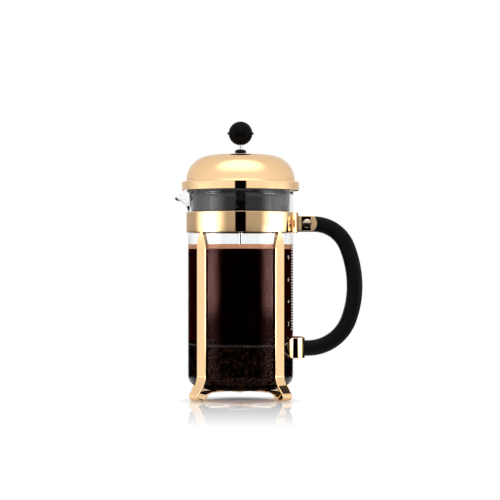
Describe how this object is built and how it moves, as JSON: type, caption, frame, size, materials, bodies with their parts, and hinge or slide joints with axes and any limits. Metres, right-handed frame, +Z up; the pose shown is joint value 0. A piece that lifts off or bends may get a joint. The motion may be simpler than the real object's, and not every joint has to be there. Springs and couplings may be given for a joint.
{
  "type": "french press",
  "caption": "French press: glass beaker in a plated strap frame with a side handle, domed lid and sliding plunger with a coil-edged filter.",
  "frame": {"origin": "on the beaker's axis, in the plane the four feet stand on", "axes": "+Z up along the beaker's axis, +X towards the handle, -X towards the pouring spout"},
  "size_m": [0.1695, 0.106, 0.2483],
  "materials": {
    "plated_steel": "polished, pale copper-gold plating on steel sheet",
    "glass": "clear borosilicate",
    "handle_plastic": "black, fine satin",
    "liner_plastic": "black, semi-gloss",
    "knob_plastic": "black, satin",
    "rod_steel": "bright drawn stainless steel",
    "filter_steel": "stainless steel",
    "screw_steel": "plain zinc-plated steel"
  },
  "bodies": {
    "frame": {"frame_band": "plated_steel", "strap_upper": "plated_steel", "strap_lower": "plated_steel", "base_rivet": "plated_steel", "handle_bracket": "plated_steel", "handle": "handle_plastic", "clamp_screw": "screw_steel", "clamp_nut": "screw_steel"},
    "beaker": {"glass_beaker": "glass"},
    "guide": {"rod_bushing": "liner_plastic", "bushing_nut": "liner_plastic"},
    "lid": {"lid_dome": "plated_steel", "lid_insert": "liner_plastic"},
    "plunger": {"plunger_rod": "rod_steel", "knob_upper": "knob_plastic", "knob_lower": "knob_plastic", "knob_insert": "screw_steel", "rod_nut": "filter_steel", "spiral_plate": "filter_steel", "edge_coil": "filter_steel", "mesh_filter": "filter_steel", "cross_plate": "filter_steel"}
  },
  "joints": [
    {"name": "beaker_lift", "type": "slide", "parent": "frame", "child": "beaker", "axis": [0, 0, 1], "range_m": [0, 0.165]},
    {"name": "lid_lift", "type": "slide", "parent": "beaker", "child": "guide", "axis": [0, 0, 1], "range_m": [0, 0.155]},
    {"name": "lid_turn", "type": "hinge", "parent": "guide", "child": "lid", "pos_m": [0, 0, 0.2197], "axis": [0, 0, 1], "continuous": true},
    {"name": "plunger_slide", "type": "slide", "parent": "guide", "child": "plunger", "axis": [0, 0, 1], "range_m": [-0.004, 0.114]}
  ]
}
